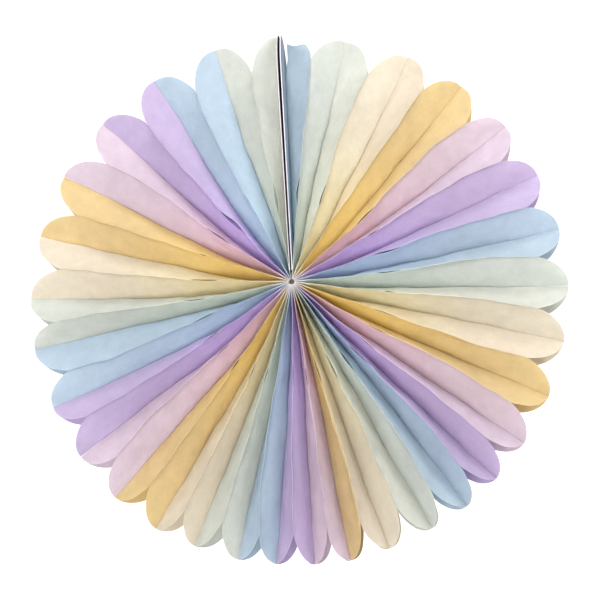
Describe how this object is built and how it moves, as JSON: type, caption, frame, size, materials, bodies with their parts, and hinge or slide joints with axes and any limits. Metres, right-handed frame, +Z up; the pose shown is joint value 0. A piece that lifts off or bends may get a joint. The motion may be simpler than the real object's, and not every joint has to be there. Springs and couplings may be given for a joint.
{
  "type": "paper fan rosette",
  "caption": "Round honeycomb-style paper fan rosette of pastel leaves with scalloped tips, opened into a full disc around a bound hub and closed by two cover cards.",
  "frame": {"origin": "middle of the hub, on the disc's axis and halfway between its front and back", "axes": "disc upright in XZ: +Y is the disc's axis from its front to its back, +Z points up to the seam between the two cover cards, +X to the right as seen from the front"},
  "size_m": [0.4007, 0.0556, 0.3998],
  "materials": {
    "paper_blue": "matt",
    "paper_green": "matt",
    "paper_cream": "matt",
    "paper_yellow": "matt",
    "paper_pink": "matt",
    "paper_purple": "matt",
    "card": "matt",
    "binding_glue": "satin"
  },
  "bodies": {
    "root": {"leaves_01_blue": "paper_blue", "leaves_02_green": "paper_green", "leaves_03_cream": "paper_cream", "leaves_04_yellow": "paper_yellow", "leaves_05_pink": "paper_pink", "leaves_06_purple": "paper_purple", "leaves_07_blue": "paper_blue", "leaves_08_green": "paper_green", "leaves_09_cream": "paper_cream", "leaves_10_yellow": "paper_yellow", "leaves_11_pink": "paper_pink", "leaves_12_purple": "paper_purple", "leaves_13_blue": "paper_blue", "leaves_14_green": "paper_green", "leaves_15_cream": "paper_cream", "leaves_16_yellow": "paper_yellow", "leaves_17_pink": "paper_pink", "leaves_18_purple": "paper_purple", "leaves_19_blue": "paper_blue", "leaves_20_green": "paper_green", "leaves_21_cream": "paper_cream", "leaves_22_yellow": "paper_yellow", "leaves_23_pink": "paper_pink", "leaves_24_purple": "paper_purple", "leaves_25_blue": "paper_blue", "leaves_26_green": "paper_green", "leaves_27_cream": "paper_cream", "leaves_28_yellow": "paper_yellow", "leaves_29_pink": "paper_pink", "leaves_30_purple": "paper_purple", "leaves_31_blue": "paper_blue", "leaves_32_green": "paper_green", "cover_card_left": "card", "cover_card_right": "card", "hub_binding": "binding_glue"}
  },
  "joints": []
}
